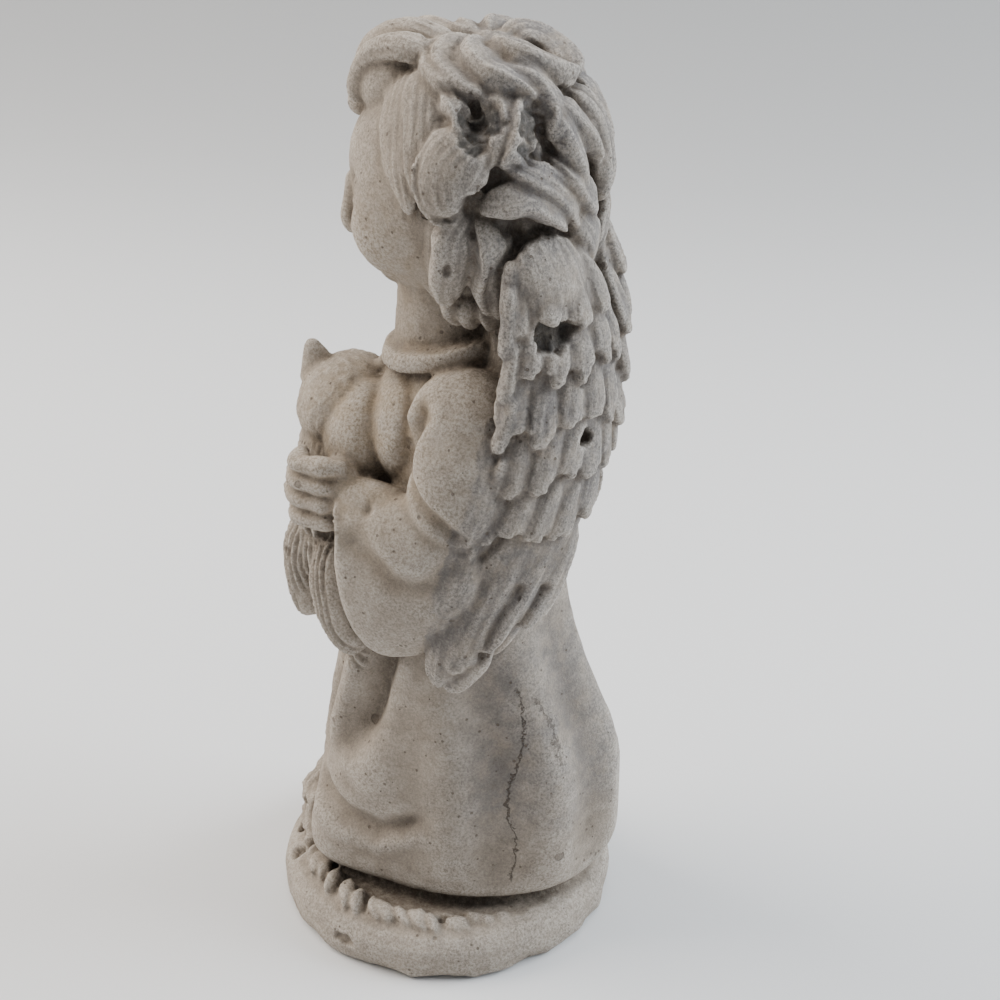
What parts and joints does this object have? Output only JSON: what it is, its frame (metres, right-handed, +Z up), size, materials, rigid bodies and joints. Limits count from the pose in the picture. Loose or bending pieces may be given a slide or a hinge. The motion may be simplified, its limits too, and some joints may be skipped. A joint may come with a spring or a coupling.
{
  "type": "garden statue",
  "caption": "Cast-stone cherub in a long robe holding a kitten to its chest, with folded wings and wavy hair, on a low round base.",
  "frame": {"origin": "centre of the round base's flat underside, which rests on the ground", "axes": "+Z up through the head, the figure faces -Y, its left side is +X"},
  "size_m": [0.0916, 0.0935, 0.2405],
  "materials": {
    "cast_stone": "matt sandy cast stone, warm light grey, with grey patina and brown grime in the hollows"
  },
  "bodies": {
    "root": {"cherub_statue": "cast_stone"}
  },
  "joints": []
}
